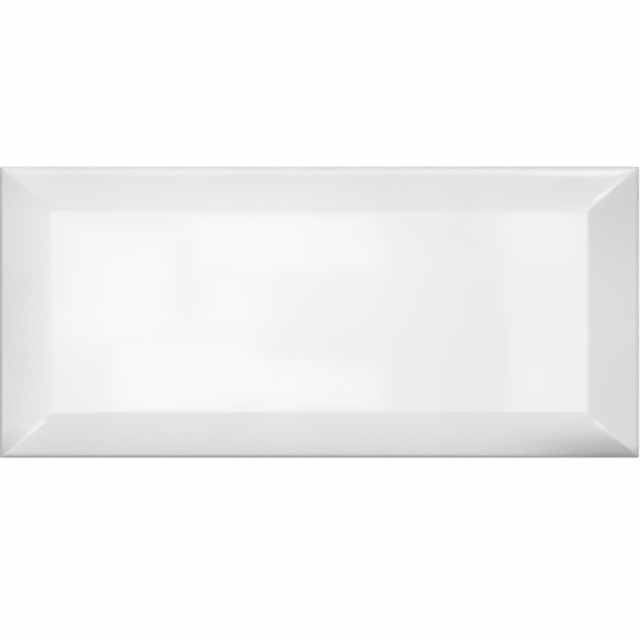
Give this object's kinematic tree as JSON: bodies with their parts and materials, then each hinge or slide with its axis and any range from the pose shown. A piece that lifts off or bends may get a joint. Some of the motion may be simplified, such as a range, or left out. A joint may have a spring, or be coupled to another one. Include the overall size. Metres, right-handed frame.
{
  "type": "bevelled subway wall tile",
  "caption": "Rectangular white gloss ceramic wall tile with a flat raised field, mitred bevels on every side, a rolled rim and a keyed back for bonding to a wall.",
  "frame": {"origin": "middle of the tile's back, on the plane of the ribs that bed into the adhesive", "axes": "+X along the tile's length, +Y across its width, +Z out of the glazed face"},
  "size_m": [0.2, 0.0912, 0.008],
  "materials": {
    "white_glaze": "gloss white glaze on the face and rim, bare fired body on the back"
  },
  "bodies": {
    "root": {"wall_tile": "white_glaze"}
  },
  "joints": []
}
